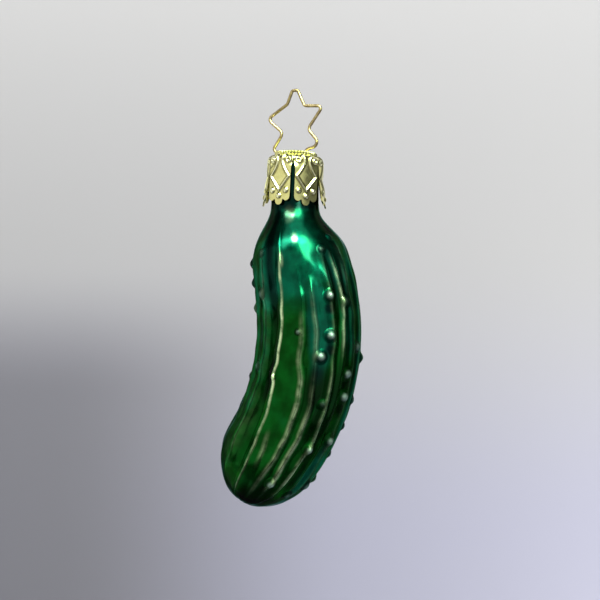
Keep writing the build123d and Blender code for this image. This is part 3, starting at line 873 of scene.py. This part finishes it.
# Recesses darkened with painted shade and tarnish
recessed_share = multiply(tree, painted(tree, "recessed"), 0.8)
stamped = mix_colours(tree, recessed_share, embossed, (0.14, 0.12, 0.03, 1))
tree.links.new(stamped, surface.inputs["Base Color"])
tree.links.new(marks["Roughness"], surface.inputs["Roughness"])
add_bump(tree, surface, marks["Scratches"], 0.25, 0.02)
cap_piece.data.materials.append(pale_brass)
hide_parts("crown_cap")
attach(cap_piece, "cap")

# Spring hanger
# One length of gold-toned spring wire, bent to a star above the cap. Its two legs go down through the
# cap's holes and spring outwards inside the neck, which holds glass, cap and wire together.

gold_wire, tree, surface, where = new_material("gold_spring_wire")
marks = add_handling(tree, 0.7, 0.24, 0.2)
wire_colour = mix_colours(tree, marks["Tarnish mask"], (0.47, 0.37, 0.18, 1), (0.25, 0.18, 0.07, 1))
tree.links.new(wire_colour, surface.inputs["Base Color"])
tree.links.new(marks["Roughness"], surface.inputs["Roughness"])
add_bump(tree, surface, marks["Scratches"], 0.2, 0.01)
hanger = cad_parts["spring_hanger"]
hanger.data.materials.clear()
hanger.data.materials.append(gold_wire)
hanger.data.shade_smooth()

# Backdrop
# A pale grey paper sweep, well behind and below the ornament, that curves from the wall into the floor.

WALL_Y = 0.50
FLOOR_Z = -0.80
SWEEP_R = 0.22
SWEEP_STEPS = 24
HALF_WIDTH = 2.6
FRONT_EDGE_Y = -1.0
WALL_TOP_Z = 1.2
sweep_line = [(FRONT_EDGE_Y, FLOOR_Z), (WALL_Y - SWEEP_R, FLOOR_Z)]
for i in range(1, SWEEP_STEPS + 1):
    turn = pi / 2 * i / SWEEP_STEPS
    sweep_line.append((WALL_Y - SWEEP_R + SWEEP_R * sin(turn), FLOOR_Z + SWEEP_R * (1 - cos(turn))))
sweep_line.append((WALL_Y, WALL_TOP_Z))
sweep_points = [(x / MM, y / MM, z / MM) for y, z in sweep_line for x in (-HALF_WIDTH, HALF_WIDTH)]
sweep_faces = [(2 * i, 2 * i + 1, 2 * i + 3, 2 * i + 2) for i in range(len(sweep_line) - 1)]
backdrop = new_piece("backdrop", sweep_points, sweep_faces)
paper, tree, surface, where = new_material("grey_paper", metallic=0.0)
sides = add_node(tree, "ShaderNodeSeparateXYZ", {0: where}).outputs
# Painted shade: the paper is darker and bluer towards the bottom, with a painted shadow on its lower left
low = mix_colours(tree, spread(tree, sides["Z"], -0.25, 0.0), (0.64, 0.645, 0.77, 1), (0.73, 0.73, 0.72, 1))
shadow = multiply(tree, spread(tree, sides["X"], 0.05, -0.20), spread(tree, sides["Z"], -0.02, -0.13))
shadow = multiply(tree, shadow, spread(tree, sides["X"], -0.60, -0.34))
shaded = mix_colours(tree, shadow, low, (0.37, 0.37, 0.40, 1))
tree.links.new(shaded, surface.inputs["Base Color"])
surface.inputs["Roughness"].default_value = 0.9
backdrop.data.materials.append(paper)

# Light
# Soft studio light: small bright lamps, a strip and a glow above the camera, soft windows to its right and
# wide panels to the sides. Two lamps wash the wall alone, and a low window and a panel only the glass.

TARGET = Vector((0.0, 0.0, -0.040))


def group_pieces(name, pieces):
    """A group of pieces that a lamp may light."""
    group = bpy.data.collections.new(name)
    for piece in pieces:
        group.objects.link(piece)
    return group


def soft_lamp(name, lit, shape, place, target, size, radiance, colour):
    """An even lamp for the lit pieces. Its power follows from its size and how bright it looks."""
    lamp = bpy.data.lights.new(name, "AREA")
    lamp.shape = shape
    lamp.size, lamp.size_y = size
    lamp.energy = radiance * pi * size[0] * size[1]
    lamp.color = colour
    holder = bpy.data.objects.new(name, lamp)
    holder.location = place
    holder.rotation_euler = (target - place).to_track_quat("-Z", "Y").to_euler()
    holder.light_linking.receiver_collection = lit
    bpy.context.scene.collection.objects.link(holder)


def at(right_degrees, up_degrees, distance):
    """A place so many degrees to the right of the camera and up from the target, so far off in metres."""
    turn = radians(right_degrees)
    rise = radians(up_degrees)
    return TARGET + distance * Vector((sin(turn) * cos(rise), -cos(turn) * cos(rise), sin(rise)))


ornament = group_pieces("ornament", (pickle_glass, cap_piece, hanger))
glass_only = group_pieces("glass_only", (pickle_glass,))
wall_only = group_pieces("wall_only", (backdrop,))

# Each lamp's name, what it lights, its place as degrees right, degrees up and distance, its width and
# height in metres, how bright it looks, and its colour
OVAL_LAMPS = (
    ("key_lamp", ornament, (-13, 56, 0.40), (0.075, 0.062), 44.0, (0.97, 1.0, 1.0)),
    ("left_key", ornament, (-40, 46, 0.41), (0.150, 0.190), 5.0, (0.95, 1.0, 1.0)),
    ("window_strip", ornament, (-12, 53, 0.42), (0.46, 0.090), 4.5, (0.95, 1.0, 1.0)),
    ("top_glow", ornament, (-5, 64, 0.45), (0.50, 0.32), 1.5, (0.90, 1.0, 1.0)),
    ("right_window", ornament, (15, 40, 0.28), (0.125, 0.260), 13.0, (0.75, 1.0, 0.66)),
    ("window_glow", ornament, (18, 38, 0.29), (0.150, 0.240), 4.5, (0.80, 1.0, 0.80)),
    ("low_window", glass_only, (22, 22, 0.30), (0.045, 0.100), 10.0, (0.90, 1.0, 0.97)),
)
PANELS = (
    ("left_panel", ornament, (-42, 4, 0.62), (1.12, 0.66), 0.82, (1.0, 0.99, 0.95)),
    ("left_back_panel", ornament, (-118, 4, 0.70), (0.60, 0.70), 0.6, (0.95, 1.0, 0.98)),
    ("left_low_panel", ornament, (-98, -30, 0.70), (0.7, 0.5), 0.65, (0.95, 1.0, 0.98)),
    ("right_panel", ornament, (27, 4, 0.62), (0.50, 0.66), 0.55, (0.95, 0.98, 1.0)),
    ("far_right_panel", glass_only, (46, 4, 0.62), (0.50, 0.66), 0.75, (0.95, 0.98, 1.0)),
)
for shape, lamps in (("ELLIPSE", OVAL_LAMPS), ("RECTANGLE", PANELS)):
    for name, lit, place, size, radiance, colour in lamps:
        soft_lamp(name, lit, shape, at(*place), TARGET, size, radiance, colour)

# The two lamps of the wall: name, place, the spot on the wall that each faces, size and brightness
WALL_WHITE = (1.0, 0.995, 0.98)
WALL_LAMPS = (
    ("wall_lamp", (0.0, 0.05, 0.80), (0.0, WALL_Y, 0.0), (3.0, 0.25), 8.2),
    ("low_wall_lamp", (0.55, 0.06, -0.40), (0.55, WALL_Y, -0.40), (0.5, 0.5), 2.8),
)
for name, place, faced, size, radiance in WALL_LAMPS:
    soft_lamp(name, wall_only, "RECTANGLE", Vector(place), Vector(faced), size, radiance, WALL_WHITE)

world = bpy.data.worlds.new("dim_room")
world.use_nodes = True
room_light = world.node_tree.nodes["Background"].inputs
room_light["Color"].default_value = (0.13, 0.135, 0.14, 1)
room_light["Strength"].default_value = 1.0
bpy.context.scene.world = world
bpy.context.scene.view_settings.view_transform = "Standard"

# Camera
# Level with the middle of the picture, looking straight at the pickle's front.

PIXEL = 0.25 * MM         # size of a pixel at the ornament
FRAME_PIXELS = 600
FRAME_RIGHT = 5           # the frame's middle, in pixels to the right of the wire's top bend
FRAME_DOWN = 208          # and below it
FOCAL_PIXELS = 885
SENSOR = 36.0
lens = bpy.data.cameras.new("camera")
lens.sensor_width = SENSOR
lens.lens = SENSOR * FOCAL_PIXELS / FRAME_PIXELS
camera = bpy.data.objects.new("camera", lens)
camera.location = (FRAME_RIGHT * PIXEL, -FOCAL_PIXELS * PIXEL, -FRAME_DOWN * PIXEL)
camera.rotation_euler = (pi / 2, 0, 0)
bpy.context.scene.collection.objects.link(camera)
bpy.context.scene.camera = camera
